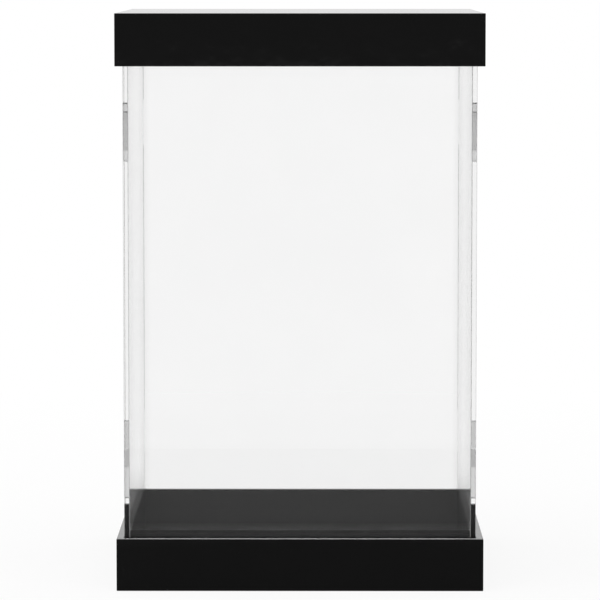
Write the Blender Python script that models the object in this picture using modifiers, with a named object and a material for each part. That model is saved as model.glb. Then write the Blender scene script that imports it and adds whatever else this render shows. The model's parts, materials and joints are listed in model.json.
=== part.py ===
"""Clear display box with a black tray under it and a black lid over it.

Metres, +Z up. The origin is the middle of the underside and the front faces -Y.
The base and the lid are trays: a plate with four strips bonded round its edge.
The case is four clear sheets. The front and back sheets have two tabs on each
end, and the side sheets have notches for them. The case stands in the base,
and the lid rests on the case's upper edges.
"""

from math import pi

import bmesh
import bpy
from mathutils import Vector

# Overall size
BOX_WIDTH = 0.140
BOX_DEPTH = 0.140
BOX_HEIGHT = 0.220

# Height of the black rim on the base and on the lid
BAND_HEIGHT = 0.020

# Sheet thicknesses
BLACK_SHEET = 0.0025
CLEAR_SHEET = 0.002

# Gap between two pieces that are bonded or rest on each other
SEAT_GAP = 0.0003

# Play between the rim's inner face and the clear case
CASE_CLEARANCE = 0.0004

# Small chamfer that breaks the black sheets' edges
EDGE_BREAK = 0.0002

# Tabs on the ends of the front and back sheets
TAB_HEIGHT = 0.0186
# Middle of the lower and the upper tab, as shares of the case's height
TAB_MIDDLE_SHARES = (0.196, 0.7955)

# A merge distance that only joins points lying on each other
WELD_DISTANCE = 0.00001

# Extents that follow from the sizes above
RIM_INNER_X = BOX_WIDTH / 2 - BLACK_SHEET
RIM_INNER_Y = BOX_DEPTH / 2 - BLACK_SHEET
CASE_X = RIM_INNER_X - CASE_CLEARANCE
CASE_Y = RIM_INNER_Y - CASE_CLEARANCE
CASE_BOTTOM = BLACK_SHEET + SEAT_GAP
CASE_TOP = BOX_HEIGHT - BLACK_SHEET - SEAT_GAP
CASE_HEIGHT = CASE_TOP - CASE_BOTTOM


def clear_scene():
    """Remove every object that the file starts with."""
    for thing in list(bpy.data.objects):
        bpy.data.objects.remove(thing, do_unlink=True)


def make_collection(name):
    """A collection for the finished pieces."""
    group = bpy.data.collections.new(name)
    bpy.context.scene.collection.children.link(group)
    return group


def shader_of(name):
    """A new material and its Principled shader."""
    material = bpy.data.materials.new(name)
    material.use_nodes = True
    return material, material.node_tree.nodes["Principled BSDF"]


def black_acrylic():
    """Polished black acrylic sheet."""
    material, shader = shader_of("black_acrylic")
    shader.inputs["Base Color"].default_value = (0.007, 0.007, 0.007, 1)
    shader.inputs["Roughness"].default_value = 0.08
    shader.inputs["Metallic"].default_value = 0
    shader.inputs["IOR"].default_value = 1.49
    return material


def clear_acrylic():
    """Water-clear acrylic sheet."""
    material, shader = shader_of("clear_acrylic")
    shader.inputs["Base Color"].default_value = (0.97, 0.98, 0.98, 1)
    shader.inputs["Roughness"].default_value = 0.02
    shader.inputs["Metallic"].default_value = 0
    shader.inputs["IOR"].default_value = 1.49
    shader.inputs["Transmission Weight"].default_value = 1
    return material


def add_carrier(name, height, group):
    """An empty on the box's upright middle line, which carries the pieces that move together."""
    carrier = bpy.data.objects.new(name, None)
    carrier.location = (0, 0, height)
    group.objects.link(carrier)
    return carrier


def place(piece, location, carrier, material, group):
    """Put a piece at a place in the box's frame, under its carrier, with its material."""
    piece.data.materials.append(material)
    piece.parent = carrier
    piece.location = Vector(location) - carrier.location
    group.objects.link(piece)
    return piece


def add_sheet(name, low, high, carrier, material, group):
    """A rectangular black sheet between two corners, with its edges broken."""
    low = Vector(low)
    high = Vector(high)
    mesh = bpy.data.meshes.new(name)
    shape = bmesh.new()
    bmesh.ops.create_cube(shape, size=1)
    bmesh.ops.scale(shape, vec=high - low, verts=shape.verts)
    shape.to_mesh(mesh)
    shape.free()
    sheet = place(bpy.data.objects.new(name, mesh), (low + high) / 2, carrier, material, group)
    edge = sheet.modifiers.new("edge_break", "BEVEL")
    edge.width = EDGE_BREAK
    edge.segments = 1
    edge.limit_method = "ANGLE"
    return sheet


def add_tray(name, plate_bottom, rim_bottom, carrier, material, group):
    """A plate and the four strips round it, as on the base and, upside down, on the lid."""
    plate_x = RIM_INNER_X - SEAT_GAP
    plate_y = RIM_INNER_Y - SEAT_GAP
    plate_top = plate_bottom + BLACK_SHEET
    rim_top = rim_bottom + BAND_HEIGHT
    add_sheet(
        name + "_plate",
        (-plate_x, -plate_y, plate_bottom),
        (plate_x, plate_y, plate_top),
        carrier, material, group,
    )
    # The front and back strips run over the full width, so their faces have no seam
    for side, low_y in (("front", -BOX_DEPTH / 2), ("back", RIM_INNER_Y)):
        add_sheet(
            f"{name}_{side}_strip",
            (-BOX_WIDTH / 2, low_y, rim_bottom),
            (BOX_WIDTH / 2, low_y + BLACK_SHEET, rim_top),
            carrier, material, group,
        )
    # The side strips stand between them
    for side, low_x in (("left", -BOX_WIDTH / 2), ("right", RIM_INNER_X)):
        add_sheet(
            f"{name}_{side}_strip",
            (low_x, -plate_y, rim_bottom),
            (low_x + BLACK_SHEET, plate_y, rim_top),
            carrier, material, group,
        )


def stepped_outline(plain_reach, step_reach, step_half_height):
    """Outline of a case sheet about its upright middle line, from its lower edge at height 0.

    The sheet reaches plain_reach to each side, and step_reach over the height of
    each tab: further out for a tab, less far for a notch.
    """
    right = [(plain_reach, 0)]
    for share in TAB_MIDDLE_SHARES:
        middle = share * CASE_HEIGHT
        low = middle - step_half_height
        high = middle + step_half_height
        right += [(plain_reach, low), (step_reach, low), (step_reach, high), (plain_reach, high)]
    right.append((plain_reach, CASE_HEIGHT))
    left = [(-reach, height) for reach, height in reversed(right)]
    return right + left


def add_panel(name, outline, location, turn, carrier, material, group):
    """An upright clear sheet cut to an outline. turn is its heading about Z."""
    curve = bpy.data.curves.new(name, "CURVE")
    curve.dimensions = "2D"
    curve.fill_mode = "BOTH"
    curve.extrude = CLEAR_SHEET / 2
    spline = curve.splines.new("POLY")
    spline.points.add(len(outline) - 1)
    for point, (across, up) in zip(spline.points, outline):
        point.co = (across, up, 0, 1)
    spline.use_cyclic_u = True
    panel = place(bpy.data.objects.new(name, curve), location, carrier, material, group)
    panel.rotation_euler = (pi / 2, 0, turn)
    weld = panel.modifiers.new("close_caps", "WELD")
    weld.merge_threshold = WELD_DISTANCE
    return panel


def add_case(carrier, material, group):
    """The four clear sheets, locked by tabs in notches at the upright corners."""
    middle_x = CASE_X - CLEAR_SHEET / 2
    middle_y = CASE_Y - CLEAR_SHEET / 2
    tabbed = stepped_outline(CASE_X - CLEAR_SHEET - SEAT_GAP, CASE_X, TAB_HEIGHT / 2)
    notched = stepped_outline(CASE_Y, CASE_Y - CLEAR_SHEET - SEAT_GAP, TAB_HEIGHT / 2 + SEAT_GAP)
    for name, place_y in (("front_panel", -middle_y), ("back_panel", middle_y)):
        add_panel(name, tabbed, (0, place_y, CASE_BOTTOM), 0, carrier, material, group)
    for name, place_x in (("left_panel", -middle_x), ("right_panel", middle_x)):
        add_panel(name, notched, (place_x, 0, CASE_BOTTOM), pi / 2, carrier, material, group)


def main():
    clear_scene()
    group = make_collection("display_box")
    black = black_acrylic()
    clear = clear_acrylic()

    base = add_carrier("base", 0, group)
    add_tray("base", 0, 0, base, black, group)

    case = add_carrier("case", CASE_BOTTOM, group)
    add_case(case, clear, group)

    lid = add_carrier("lid", BOX_HEIGHT - BAND_HEIGHT, group)
    add_tray("lid", BOX_HEIGHT - BLACK_SHEET, BOX_HEIGHT - BAND_HEIGHT, lid, black, group)


main()
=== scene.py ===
"""Looks of the clear display box: refined sheets, materials, floor, light and camera.

Metres, +Z up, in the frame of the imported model. The front faces -Y.
"""

import json
from math import pi, radians

import bmesh
import bpy
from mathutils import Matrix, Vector


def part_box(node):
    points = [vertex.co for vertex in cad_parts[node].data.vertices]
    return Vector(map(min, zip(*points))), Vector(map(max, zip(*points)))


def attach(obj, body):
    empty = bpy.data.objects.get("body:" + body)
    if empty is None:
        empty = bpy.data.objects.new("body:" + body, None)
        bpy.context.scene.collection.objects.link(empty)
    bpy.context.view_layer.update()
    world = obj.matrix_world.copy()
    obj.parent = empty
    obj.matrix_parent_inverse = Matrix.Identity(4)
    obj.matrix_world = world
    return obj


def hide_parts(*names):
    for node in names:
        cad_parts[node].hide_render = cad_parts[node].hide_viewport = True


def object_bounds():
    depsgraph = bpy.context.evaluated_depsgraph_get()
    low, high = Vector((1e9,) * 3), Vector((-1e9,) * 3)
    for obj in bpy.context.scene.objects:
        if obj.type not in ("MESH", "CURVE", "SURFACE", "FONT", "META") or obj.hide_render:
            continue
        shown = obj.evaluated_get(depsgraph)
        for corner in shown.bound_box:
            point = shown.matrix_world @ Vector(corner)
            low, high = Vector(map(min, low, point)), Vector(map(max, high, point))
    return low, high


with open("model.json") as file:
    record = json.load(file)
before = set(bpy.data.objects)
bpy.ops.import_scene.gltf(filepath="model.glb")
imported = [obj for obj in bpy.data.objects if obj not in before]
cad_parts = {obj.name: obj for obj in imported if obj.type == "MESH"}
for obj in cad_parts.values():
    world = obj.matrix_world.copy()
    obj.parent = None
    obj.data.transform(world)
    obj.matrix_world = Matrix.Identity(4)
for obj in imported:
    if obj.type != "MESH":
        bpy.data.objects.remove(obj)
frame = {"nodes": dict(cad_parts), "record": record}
cad_low, cad_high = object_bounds()

MM = 0.001
# Places closer together than this count as one
SAME_PLACE = 0.1 * MM
# Least part of a face's normal along an axis for the face to look along it
LOOKS_ALONG = 0.5
AXES = range(3)
X_AXIS, Y_AXIS = 0, 1

# The sheets of the two trays
BASE = ("base_plate", "base_front_strip", "base_back_strip", "base_left_strip", "base_right_strip")
LID = ("lid_plate", "lid_front_strip", "lid_back_strip", "lid_left_strip", "lid_right_strip")

# Seams left between bonded clear sheets and between bonded black ones, which let no light through
SEAM = 0.05 * MM
BLACK_SEAM = 0.004 * MM
# How near a neighbour has to be for a black sheet to count as bonded to it
BOND_REACH = 0.6 * MM
# Rounding of the black sheets' free edges
BLACK_ARRIS = 0.25 * MM
BLACK_ARRIS_STEPS = 3
# Rounding of the clear sheets' edges: widest at the upper tabs and up the back sheet, less at
# the lower tabs and least elsewhere
WIDE_ARRIS = 0.3 * MM
LOW_TAB_ARRIS = 0.16 * MM
CLEAR_ARRIS = 0.13 * MM
CLEAR_ARRIS_STEPS = 2
# Level edges further than this from a clear sheet's foot and top are those of tabs and notches
TAB_INSET = 1 * MM
# Which of a clear sheet's heights is the upper tabs' upper end
UPPER_TAB_END = 4

# Order of the materials on a black sheet, the second with painted light on the inner faces, and on
# a clear one
POLISHED, SATIN_PAINTED_LIGHT = range(2)
FACE, CUT, JOINT, BROKEN = range(4)

# The camera stands in front of the box and looks a little down
CAMERA_PLACE = Vector((0.00499, -1.4812, 0.23824))
CAMERA_PITCH = radians(5.1279)
CAMERA_YAW = radians(0.2012)
CAMERA_LENS_MM = 224.24
SENSOR_MM = 36

# Level that shows as white
WHITE = 1
# Levels of what the polished sheets mirror: a white backdrop behind the box, dimmer along the
# horizon, a dim room with a lighter ceiling, and a floor that is lit in a wide ring about the box
HORIZON_LEVEL = 0.83
ROOM_LEVEL = 0.15
CEILING_LEVEL = 0.6
LIT_FLOOR_LEVEL = 0.4
# Half widths about +Y of the backdrop and of the white floor before it, as cosines
BACKDROP_COSINES = (0.65, 0.875)
WHITE_FLOOR_COSINES = (0.93, 0.985)
# Half width about -Y of the floor that stays dim for light guided inside the sheets, as cosines,
# and the mirrorings above which light counts as guided
FRONT_COSINES = (-0.9, -0.7)
GUIDED_BOUNCES = 1.5
# Sines of the heights between which the backdrop fades, the ceiling begins and the dimmer
# horizon ends
BACKDROP_TOP = (0.4, 0.6)
CEILING_START = (0.15, 0.45)
HORIZON_END = (0.02, 0.09)
# Metres from the box's middle between which the lit floor begins, and ends
LIT_FLOOR_START = (0.19, 0.25)
LIT_FLOOR_END = (6.6, 7.6)
# Level of the world's light on matt surfaces
FILL_LEVEL = 0.85

# The floor's own grey, the share in its white of its shading, which holds the box's shadow, and
# the metres from the box's middle between which that share fades out
FLOOR_GREY = 0.9
SHADOW_SHARE = 0.13
SHADOW_FADE = (0.15, 0.6)
FLOOR_SIZE = 60
# How far below the box's underside the floor lies
FLOOR_GAP = 0.05 * MM

# The lamp hangs above the box, in front of it and to the left
SOFTBOX_SIZE = (1.2, 0.9)
SOFTBOX_WATTS = 6
SOFTBOX_PLACE = Vector((-0.25, -0.45, 1.6))
SOFTBOX_AIM = Vector((0, 0, 0.1))

# Values between which most of a noise pattern lies, and a whole share
NOISE_SPAN = (0.3, 0.7)
SHARE_SPAN = (0, 1)
# Fineness of a cloudy pattern and of a plain one
CLOUDY_DETAIL = 3
PLAIN_DETAIL = 1
# Scale that leaves a vector's level part
LEVEL_PART = (1, 1, 0)


# Node helpers

def new_material(name):
    """A node material, its tree and its Principled shader."""
    material = bpy.data.materials.new(name)
    material.use_nodes = True
    tree = material.node_tree
    return material, tree, tree.nodes["Principled BSDF"]


def grey(level):
    """A neutral colour."""
    return (level, level, level, 1)


def feed(tree, socket, given):
    """Sets a socket to a number, or links it to another socket."""
    if isinstance(given, (int, float)):
        socket.default_value = given
    else:
        tree.links.new(given, socket)


def object_place(tree):
    """The point's place in its piece's own frame, which is the box's frame at rest."""
    return tree.nodes.new("ShaderNodeTexCoord").outputs["Object"]


def stretched(tree, vector, scale):
    """The vector scaled along each axis."""
    mapping = tree.nodes.new("ShaderNodeMapping")
    mapping.inputs["Scale"].default_value = scale
    tree.links.new(vector, mapping.inputs["Vector"])
    return mapping.outputs["Vector"]


def split_up(tree, vector):
    """A vector's parts."""
    split = tree.nodes.new("ShaderNodeSeparateXYZ")
    tree.links.new(vector, split.inputs["Vector"])
    return split.outputs


def vector_math(tree, operation, vector):
    """A vector math node's outputs for one vector."""
    node = tree.nodes.new("ShaderNodeVectorMath")
    node.operation = operation
    tree.links.new(vector, node.inputs[0])
    return node.outputs


def unit_vector(tree, vector):
    """The vector brought to length 1."""
    return vector_math(tree, "NORMALIZE", vector)["Vector"]


def length_of(tree, vector):
    """The vector's length."""
    return vector_math(tree, "LENGTH", vector)["Value"]


def heading(tree, vector):
    """The cosine of the angle between a vector's level part and +Y."""
    level = unit_vector(tree, stretched(tree, vector, LEVEL_PART))
    return split_up(tree, level)["Y"]


def noise(tree, vector, scale, detail=CLOUDY_DETAIL):
    """A noise pattern from 0 to 1."""
    texture = tree.nodes.new("ShaderNodeTexNoise")
    texture.inputs["Scale"].default_value = scale
    texture.inputs["Detail"].default_value = detail
    tree.links.new(vector, texture.inputs["Vector"])
    return texture.outputs["Fac"]


def ranged(tree, value, low, high, span=NOISE_SPAN):
    """The value mapped from a span to low and high, held at the ends."""
    node = tree.nodes.new("ShaderNodeMapRange")
    node.inputs["From Min"].default_value = span[0]
    node.inputs["From Max"].default_value = span[1]
    node.inputs["To Min"].default_value = low
    node.inputs["To Max"].default_value = high
    tree.links.new(value, node.inputs["Value"])
    return node.outputs["Result"]


def math_node(tree, operation, first, second=None):
    """A math node on one or two sockets or numbers."""
    node = tree.nodes.new("ShaderNodeMath")
    node.operation = operation
    feed(tree, node.inputs[0], first)
    if second is not None:
        feed(tree, node.inputs[1], second)
    return node.outputs["Value"]


def product(tree, first, second):
    """Two numbers multiplied."""
    return math_node(tree, "MULTIPLY", first, second)


def rest_of(tree, share):
    """What a share leaves of 1."""
    return math_node(tree, "SUBTRACT", 1, share)


def mixed(tree, share, first, second):
    """A number that goes from first to second by a share."""
    mix = tree.nodes.new("ShaderNodeMix")
    mix.data_type = "FLOAT"
    tree.links.new(share, mix.inputs["Factor"])
    feed(tree, mix.inputs["A"], first)
    feed(tree, mix.inputs["B"], second)
    return mix.outputs["Result"]


def mixed_greys(tree, share, first, second):
    """A grey that goes from the first level to the second by a share."""
    mix = tree.nodes.new("ShaderNodeMix")
    mix.data_type = "RGBA"
    mix.inputs["A"].default_value = grey(first)
    mix.inputs["B"].default_value = grey(second)
    tree.links.new(share, mix.inputs["Factor"])
    return mix.outputs["Result"]


def set_surface(tree, shader, colour, roughness, index, passed=0):
    """A shader's colour, roughness, refractive index and the share of light that it lets in."""
    tree.links.new(colour, shader.inputs["Base Color"])
    tree.links.new(roughness, shader.inputs["Roughness"])
    shader.inputs["IOR"].default_value = index
    shader.inputs["Transmission Weight"].default_value = passed


def bumped(tree, shader, height, distance):
    """Adds relief to a shader, from a pattern of heights whose 1 stands for the distance."""
    bump = tree.nodes.new("ShaderNodeBump")
    bump.inputs["Distance"].default_value = distance
    tree.links.new(height, bump.inputs["Height"])
    tree.links.new(bump.outputs["Normal"], shader.inputs["Normal"])


# Materials of the black sheets

# The low index gives the dim mirroring of the black faces
BLACK_INDEX = 1.3
# Greys and roughness of the polished faces, the waves in them and the rubs on them
POLISHED_GREYS = (0.0036, 0.0044)
POLISHED_ROUGHNESS = (0.02, 0.06)
WAVE_SCALE = 60
WAVE_HEIGHT = 0.08 * MM
RUB_SCALE = 900
RUB_STRETCH = (1, 1, 12)
# Greys painted on the satin faces as painted light, plain and lighter at their foot as a painted
# reflection of the floor plate, and their roughness, clouding and grain
SATIN_PAINTED_LIGHT_GREYS = (0.095, 0.36)
SATIN_ROUGHNESS = (0.12, 0.2)
SATIN_CLOUD_SCALE = 120
SATIN_CLOUD = (0.8, 1)
GRAIN_SCALE = 1500
GRAIN_HEIGHT = 0.01 * MM
# Height above the floor plate up to which the satin faces are painted lighter, a painted
# reflection of the floor plate
PAINTED_LIGHT_FOOT_HEIGHT = 3.5 * MM


def polished_black():
    """Cast black acrylic: deep black, glossy, with faint waves and hairline rubs."""
    material, tree, shader = new_material("polished_black")
    place = object_place(tree)
    waves = noise(tree, place, WAVE_SCALE)
    rubs = noise(tree, stretched(tree, place, RUB_STRETCH), RUB_SCALE)
    colour = mixed_greys(tree, waves, *POLISHED_GREYS)
    set_surface(tree, shader, colour, ranged(tree, rubs, *POLISHED_ROUGHNESS), BLACK_INDEX)
    bumped(tree, shader, waves, WAVE_HEIGHT)
    return material


def satin_black_painted_light():
    """The black acrylic's inner side: satin, finely grained, painted grey as painted light, and
    lighter along the floor plate as a painted reflection.
    """
    material, tree, shader = new_material("satin_black_painted_light")
    place = object_place(tree)
    floor_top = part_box("base_plate")[1].z
    height = split_up(tree, place)["Z"]
    foot = ranged(tree, height, 1, 0, (floor_top, floor_top + PAINTED_LIGHT_FOOT_HEIGHT))
    cloud = ranged(tree, noise(tree, place, SATIN_CLOUD_SCALE), *SATIN_CLOUD)
    grain = noise(tree, place, GRAIN_SCALE)
    colour = mixed_greys(tree, product(tree, foot, cloud), *SATIN_PAINTED_LIGHT_GREYS)
    set_surface(tree, shader, colour, ranged(tree, grain, *SATIN_ROUGHNESS), BLACK_INDEX)
    bumped(tree, shader, grain, GRAIN_HEIGHT)
    return material


# Materials of the clear sheets

ACRYLIC_INDEX = 1.49
# The polished faces: their roughness and clouding, the share of light that they let in, how far
# from the case's corners painted shade dims them, and their greys with it and without
FACE_ROUGHNESS = (0, 0.015)
FACE_GLOSS_SCALE = 700
FACE_CLOUD_SCALE = 40
FACE_CLOUD = (0.9, 1)
FACE_PASSED = 1
CORNER_SHADE_REACH = 2.5 * MM
CORNER_SHADE_GREYS = (0.92, 1)
# The cut edges and the joints between tabs and notches, with fine level lines
LINE_STRETCH = (0.05, 0.05, 1)
CUT_LINE_SCALE = 4000
CUT_GREYS = (0.9, 0.97)
CUT_ROUGHNESS = (0, 0.05)
CUT_PASSED = 1
JOINT_LINE_SCALE = 3000
JOINT_GREYS = (0.96, 1)
JOINT_ROUGHNESS = (0.02, 0.08)
JOINT_PASSED = 0.6
# The broken edges, plain and with a dark line of painted shade, and the distances from the middle
# of that painted shade line between which it fades out
BROKEN_CLOUD_SCALE = 2500
BROKEN_AND_PAINTED_SHADE_GREYS = (0.93, 0.36)
BROKEN_ROUGHNESS = (0.1, 0.25)
BROKEN_PASSED = 0.78
PAINTED_SHADE_LINE = (0.5 * MM, 0.75 * MM)


def clear_face():
    """Water-clear cast acrylic, as its polished faces show it, with painted shade a little dimmer
    at the corners.
    """
    material, tree, shader = new_material("clear_face")
    place = object_place(tree)
    parts = split_up(tree, place)
    inner_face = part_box("right_panel")[0].x
    # Painted shade dims the faces near the case's corners
    corner_shade_span = (inner_face - CORNER_SHADE_REACH, inner_face)
    near_side = ranged(tree, math_node(tree, "ABSOLUTE", parts["X"]), 0, 1, corner_shade_span)
    near_end = ranged(tree, math_node(tree, "ABSOLUTE", parts["Y"]), 0, 1, corner_shade_span)
    cloud = ranged(tree, noise(tree, place, FACE_CLOUD_SCALE), *FACE_CLOUD)
    unshaded = product(tree, cloud, rest_of(tree, product(tree, near_side, near_end)))
    colour = mixed_greys(tree, unshaded, *CORNER_SHADE_GREYS)
    roughness = ranged(tree, noise(tree, place, FACE_GLOSS_SCALE), *FACE_ROUGHNESS)
    set_surface(tree, shader, colour, roughness, ACRYLIC_INDEX, FACE_PASSED)
    return material


def cut_acrylic(name, line_scale, greys, roughness, passed):
    """Cut acrylic with fine level lines."""
    material, tree, shader = new_material(name)
    place = stretched(tree, object_place(tree), LINE_STRETCH)
    lines = noise(tree, place, line_scale, PLAIN_DETAIL)
    colour = mixed_greys(tree, lines, *greys)
    set_surface(tree, shader, colour, ranged(tree, lines, *roughness), ACRYLIC_INDEX, passed)
    return material


def clear_edge():
    """The acrylic where it was cut, a little frosted."""
    return cut_acrylic("clear_edge", CUT_LINE_SCALE, CUT_GREYS, CUT_ROUGHNESS, CUT_PASSED)


def clear_joint():
    """The cut acrylic where a tab meets its notch: milky with the glue in the joint."""
    return cut_acrylic(
        "clear_joint", JOINT_LINE_SCALE, JOINT_GREYS, JOINT_ROUGHNESS, JOINT_PASSED
    )


def clear_seam(line_height):
    """Broken edges: slightly milky, and in the side walls dark with a line of painted shade at a
    height.
    """
    material, tree, shader = new_material("clear_seam")
    place = object_place(tree)
    parts = split_up(tree, place)
    away = math_node(tree, "ABSOLUTE", math_node(tree, "SUBTRACT", parts["Z"], line_height))
    sideways = math_node(tree, "ABSOLUTE", parts["X"])
    in_wall = math_node(tree, "GREATER_THAN", sideways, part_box("right_panel")[0].x)
    # A dark line of painted shade at the upper tabs' end in the side walls
    painted_shade = product(tree, ranged(tree, away, 1, 0, PAINTED_SHADE_LINE), in_wall)
    colour = mixed_greys(tree, painted_shade, *BROKEN_AND_PAINTED_SHADE_GREYS)
    roughness = ranged(tree, noise(tree, place, BROKEN_CLOUD_SCALE), *BROKEN_ROUGHNESS)
    set_surface(tree, shader, colour, roughness, ACRYLIC_INDEX, BROKEN_PASSED)
    return material


# Shapes

def body_of(node):
    """The body that a node belongs to."""
    bodies = frame["record"]["behaviour"]["bodies"]
    return next(body for body, nodes in bodies.items() if node in nodes)


def add_piece(shape, node, materials):
    """Turns a bmesh into a piece that stands for a node and rides on its body."""
    name = "shown_" + node
    mesh = bpy.data.meshes.new(name)
    shape.to_mesh(mesh)
    shape.free()
    mesh.shade_smooth()
    for material in materials:
        mesh.materials.append(material)
    piece = bpy.data.objects.new(name, mesh)
    bpy.context.scene.collection.objects.link(piece)
    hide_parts(node)
    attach(piece, body_of(node))
    return piece


def round_edges(piece, width, steps):
    """Rounds a piece's edges by their weights and keeps its faces flat to the light."""
    bevel = piece.modifiers.new("arris", "BEVEL")
    bevel.width = width
    bevel.segments = steps
    bevel.limit_method = "WEIGHT"
    bevel.harden_normals = True
    return bevel


def weight_layer(shape):
    """The weights by which a shape's edges are rounded."""
    return shape.edges.layers.float.new("bevel_weight_edge")


def other_boxes(node, group):
    """The boxes of a group's other sheets."""
    return [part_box(other) for other in group if other != node]


def bonded_box(node, group):
    """A black sheet's box, grown towards its bonded neighbours until only the seam is left."""
    low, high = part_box(node)
    grow_low = Vector((0, 0, 0))
    grow_high = Vector((0, 0, 0))
    for other_low, other_high in other_boxes(node, group):
        for axis in AXES:
            across = [k for k in AXES if k != axis]
            beside = all(low[k] < other_high[k] and other_low[k] < high[k] for k in across)
            below = low[axis] - other_high[axis]
            above = other_low[axis] - high[axis]
            if beside and 0 < below < BOND_REACH:
                grow_low[axis] = (below - BLACK_SEAM) / 2
            if beside and 0 < above < BOND_REACH:
                grow_high[axis] = (above - BLACK_SEAM) / 2
    return low - grow_low, high + grow_high


def is_bonded(point, node, group):
    """True if a point lies on a bonded seam with another sheet of the group."""
    return any(
        all(low[k] - BOND_REACH < point[k] < high[k] + BOND_REACH for k in AXES)
        for low, high in other_boxes(node, group)
    )


def add_black_sheet(node, group, materials):
    """A black sheet of a tray: full sharp seams where it is bonded, rounded free edges."""
    low, high = bonded_box(node, group)
    shape = bmesh.new()
    bmesh.ops.create_cube(shape, size=1)
    bmesh.ops.scale(shape, vec=high - low, verts=shape.verts)
    bmesh.ops.translate(shape, vec=(low + high) / 2, verts=shape.verts)
    weight = weight_layer(shape)
    for edge in shape.edges:
        start, end = edge.verts
        bonded = is_bonded((start.co + end.co) / 2, node, group)
        edge[weight] = 0 if bonded else 1
        edge.smooth = not bonded
    # Inner faces take the material with painted light
    for face in shape.faces:
        outward = face.normal.xy.dot(face.calc_center_median().xy)
        face.material_index = SATIN_PAINTED_LIGHT if outward < -MM else POLISHED
    piece = add_piece(shape, node, materials)
    round_edges(piece, BLACK_ARRIS, BLACK_ARRIS_STEPS)


def levels_of(node):
    """The heights at which a clear sheet's outline steps, from its lower edge to its upper."""
    heights = sorted(v.co.z for v in frame["nodes"][node].data.vertices)
    levels = heights[:1]
    for height in heights:
        if height - levels[-1] > SAME_PLACE:
            levels.append(height)
    return levels


def sheet_outline(levels, plain_reach, step_reach, play):
    """Outline of a clear sheet: pairs of reach and height, stepping at each tab or notch.

    Each step is longer by the play at both its ends.
    """
    bottom, low_1, high_1, low_2, high_2, top = levels
    right = [(plain_reach, bottom)]
    for low, high in ((low_1 - play, high_1 + play), (low_2 - play, high_2 + play)):
        right += [(plain_reach, low), (step_reach, low), (step_reach, high), (plain_reach, high)]
    right.append((plain_reach, top))
    return right + [(-reach, height) for reach, height in reversed(right)]


def face_kind(face, across, outline):
    """The material of a clear sheet's face: polished, cut edge, or joint of a tab and a notch."""
    if abs(face.normal[across]) > LOOKS_ALONG:
        return FACE
    middle = face.calc_center_median()
    outermost = max(reach for reach, height in outline)
    heights = [height for reach, height in outline]
    at_end = min(abs(middle.z - min(heights)), abs(middle.z - max(heights))) < SAME_PLACE
    at_side = abs(abs(middle[1 - across]) - outermost) < SAME_PLACE
    if at_end or at_side:
        return CUT
    if abs(face.normal.z) > LOOKS_ALONG or across == X_AXIS:
        return JOINT
    return CUT


def add_ring(shape, outline, across, depth):
    """The corners of an outline at a depth along the axis across."""
    ring = []
    for reach, height in outline:
        corner = Vector((0, 0, height))
        corner[1 - across] = reach
        corner[across] = depth
        ring.append(shape.verts.new(corner))
    return ring


def sheet_shape(outline, across, low, high):
    """A clear sheet's solid from its outline, its thickness along the axis across."""
    shape = bmesh.new()
    near = add_ring(shape, outline, across, low[across])
    far = add_ring(shape, outline, across, high[across])
    shape.faces.new(near)
    shape.faces.new(far)
    for k in range(len(outline)):
        shape.faces.new((near[k - 1], near[k], far[k], far[k - 1]))
    bmesh.ops.recalc_face_normals(shape, faces=shape.faces)
    return shape


def arris_width(edge, node):
    """How wide an edge of a clear sheet is rounded."""
    low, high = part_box(node)
    start, end = (vertex.co.z for vertex in edge.verts)
    if abs(start - end) >= SAME_PLACE:
        return WIDE_ARRIS if node == "back_panel" else CLEAR_ARRIS
    if low.z + TAB_INSET < start < high.z - TAB_INSET:
        return WIDE_ARRIS if start > (low.z + high.z) / 2 else LOW_TAB_ARRIS
    return CLEAR_ARRIS


def add_clear_sheet(node, outline, across, materials):
    """A clear sheet of the case, from its outline."""
    shape = sheet_shape(outline, across, *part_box(node))
    for face in shape.faces:
        face.material_index = face_kind(face, across, outline)
    weight = weight_layer(shape)
    for edge in shape.edges:
        edge[weight] = arris_width(edge, node) / WIDE_ARRIS
    piece = add_piece(shape, node, materials)
    bevel = round_edges(piece, WIDE_ARRIS, CLEAR_ARRIS_STEPS)
    bevel.material = CUT if node == "back_panel" else BROKEN


def add_trays(materials):
    """The black base and lid."""
    for group in (BASE, LID):
        for node in group:
            add_black_sheet(node, group, materials)


def add_case(materials):
    """The four clear sheets, their tabs a hairline from their notches."""
    side_low, side_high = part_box("right_panel")
    back_low, back_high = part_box("back_panel")
    levels = levels_of("front_panel")
    tabbed = sheet_outline(levels, side_low.x - SEAM, side_high.x, 0)
    notched = sheet_outline(levels, back_high.y, back_low.y - SEAM, SEAM)
    for node in ("front_panel", "back_panel"):
        add_clear_sheet(node, tabbed, Y_AXIS, materials)
    for node in ("left_panel", "right_panel"):
        add_clear_sheet(node, notched, X_AXIS, materials)


# Surroundings

def bounces(tree, kind):
    """How many bounces of a kind, Glossy or Diffuse, a ray has made."""
    return tree.nodes.new("ShaderNodeLightPath").outputs[kind + " Depth"]


def scattered_ray(tree):
    """1 for a ray that has left a matt surface, otherwise 0."""
    return math_node(tree, "MINIMUM", bounces(tree, "Diffuse"), 1)


def straight_view(tree):
    """1 for what is seen straight or through clear sheets, 0 once mirrored or scattered."""
    mirrored_ray = math_node(tree, "MINIMUM", bounces(tree, "Glossy"), 1)
    return product(tree, rest_of(tree, mirrored_ray), rest_of(tree, scattered_ray(tree)))


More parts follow.
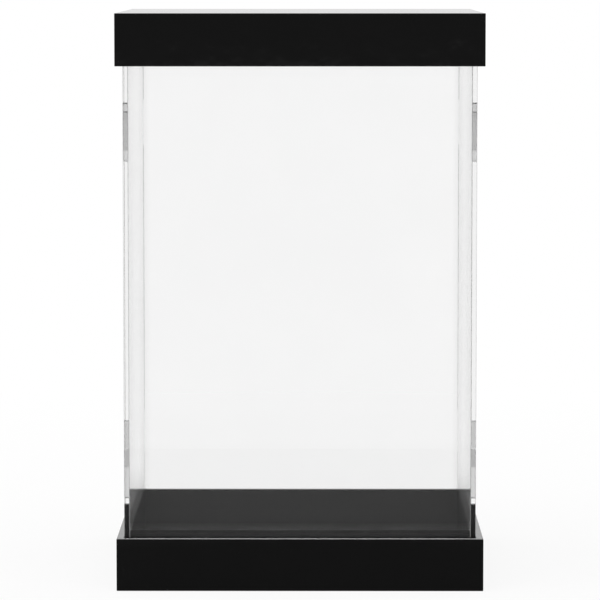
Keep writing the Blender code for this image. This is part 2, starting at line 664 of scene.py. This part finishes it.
def room_level(tree, direction):
    """Brightness of the room around the box as a polished surface shows it."""
    rise = split_up(tree, unit_vector(tree, direction))["Z"]
    behind = ranged(tree, heading(tree, direction), 0, 1, BACKDROP_COSINES)
    low = ranged(tree, rise, 1, 0, BACKDROP_TOP)
    ceiling = ranged(tree, rise, ROOM_LEVEL, CEILING_LEVEL, CEILING_START)
    backdrop = ranged(tree, rise, HORIZON_LEVEL, WHITE, HORIZON_END)
    return mixed(tree, product(tree, behind, low), ceiling, backdrop)


def floor_level(tree, place):
    """Brightness of the floor as a polished surface shows it, white where sheets pass it on."""
    distance = length_of(tree, place)
    begins = ranged(tree, distance, 0, 1, LIT_FLOOR_START)
    ends = ranged(tree, distance, 1, 0, LIT_FLOOR_END)
    level = ranged(tree, product(tree, begins, ends), ROOM_LEVEL, LIT_FLOOR_LEVEL, SHARE_SPAN)
    towards = heading(tree, place)
    behind = ranged(tree, towards, 0, 1, WHITE_FLOOR_COSINES)
    inside = math_node(tree, "GREATER_THAN", bounces(tree, "Glossy"), GUIDED_BOUNCES)
    guided = product(tree, inside, ranged(tree, towards, 0, 1, FRONT_COSINES))
    return mixed(tree, math_node(tree, "MAXIMUM", behind, guided), level, WHITE)


def set_world():
    """A soft white studio: white to the eye, even fill light, a dimmer room in mirrorings."""
    world = bpy.data.worlds.new("studio")
    bpy.context.scene.world = world
    world.use_nodes = True
    tree = world.node_tree
    direction = tree.nodes.new("ShaderNodeTexCoord").outputs["Generated"]
    level = mixed(tree, scattered_ray(tree), room_level(tree, direction), FILL_LEVEL)
    level = mixed(tree, straight_view(tree), level, WHITE)
    background = tree.nodes["Background"]
    background.inputs["Color"].default_value = grey(WHITE)
    tree.links.new(level, background.inputs["Strength"])


def pale_floor():
    """White to the eye but for the box's shadow, dimmer in mirrorings, matt to scattered light."""
    material, tree, shader = new_material("pale_floor")
    tree.nodes.remove(shader)
    place = tree.nodes.new("ShaderNodeNewGeometry").outputs["Position"]
    seen = straight_view(tree)
    matt = tree.nodes.new("ShaderNodeBsdfDiffuse")
    matt.inputs["Color"].default_value = grey(FLOOR_GREY)
    glow = tree.nodes.new("ShaderNodeEmission")
    tree.links.new(mixed(tree, seen, floor_level(tree, place), WHITE), glow.inputs["Strength"])
    shade = ranged(tree, length_of(tree, place), 1 - SHADOW_SHARE, 1, SHADOW_FADE)
    share = mixed(tree, scattered_ray(tree), mixed(tree, seen, 1, shade), 0)
    blend = tree.nodes.new("ShaderNodeMixShader")
    tree.links.new(share, blend.inputs["Fac"])
    tree.links.new(matt.outputs["BSDF"], blend.inputs[1])
    tree.links.new(glow.outputs["Emission"], blend.inputs[2])
    tree.links.new(blend.outputs["Shader"], tree.nodes["Material Output"].inputs["Surface"])
    return material


def add_floor():
    """A plain pale floor under the box."""
    shape = bmesh.new()
    bmesh.ops.create_grid(shape, x_segments=1, y_segments=1, size=FLOOR_SIZE / 2)
    mesh = bpy.data.meshes.new("floor")
    shape.to_mesh(mesh)
    shape.free()
    mesh.materials.append(pale_floor())
    floor = bpy.data.objects.new("floor", mesh)
    floor.location = (0, 0, cad_low.z - FLOOR_GAP)
    bpy.context.scene.collection.objects.link(floor)


def add_softbox():
    """A large soft lamp that looks down at the box."""
    lamp = bpy.data.lights.new("softbox", "AREA")
    lamp.shape = "RECTANGLE"
    lamp.size, lamp.size_y = SOFTBOX_SIZE
    lamp.energy = SOFTBOX_WATTS
    softbox = bpy.data.objects.new("softbox", lamp)
    softbox.location = SOFTBOX_PLACE
    aim = SOFTBOX_AIM - SOFTBOX_PLACE
    softbox.rotation_euler = aim.to_track_quat("-Z", "Y").to_euler()
    bpy.context.scene.collection.objects.link(softbox)


def add_camera():
    """The photograph's viewing angle: in front, just above the lid, looking a little down."""
    data = bpy.data.cameras.new("camera")
    data.sensor_width = SENSOR_MM
    data.lens = CAMERA_LENS_MM
    camera = bpy.data.objects.new("camera", data)
    camera.location = CAMERA_PLACE
    camera.rotation_euler = (pi / 2 - CAMERA_PITCH, 0, CAMERA_YAW)
    bpy.context.scene.collection.objects.link(camera)
    bpy.context.scene.camera = camera


def main():
    """The whole scene."""
    bpy.context.scene.view_settings.view_transform = "Standard"
    add_camera()
    black = [polished_black(), satin_black_painted_light()]
    upper_tab_end = levels_of("front_panel")[UPPER_TAB_END]
    clear = [clear_face(), clear_edge(), clear_joint(), clear_seam(upper_tab_end)]
    add_trays(black)
    add_case(clear)
    add_floor()
    set_world()
    add_softbox()


main()
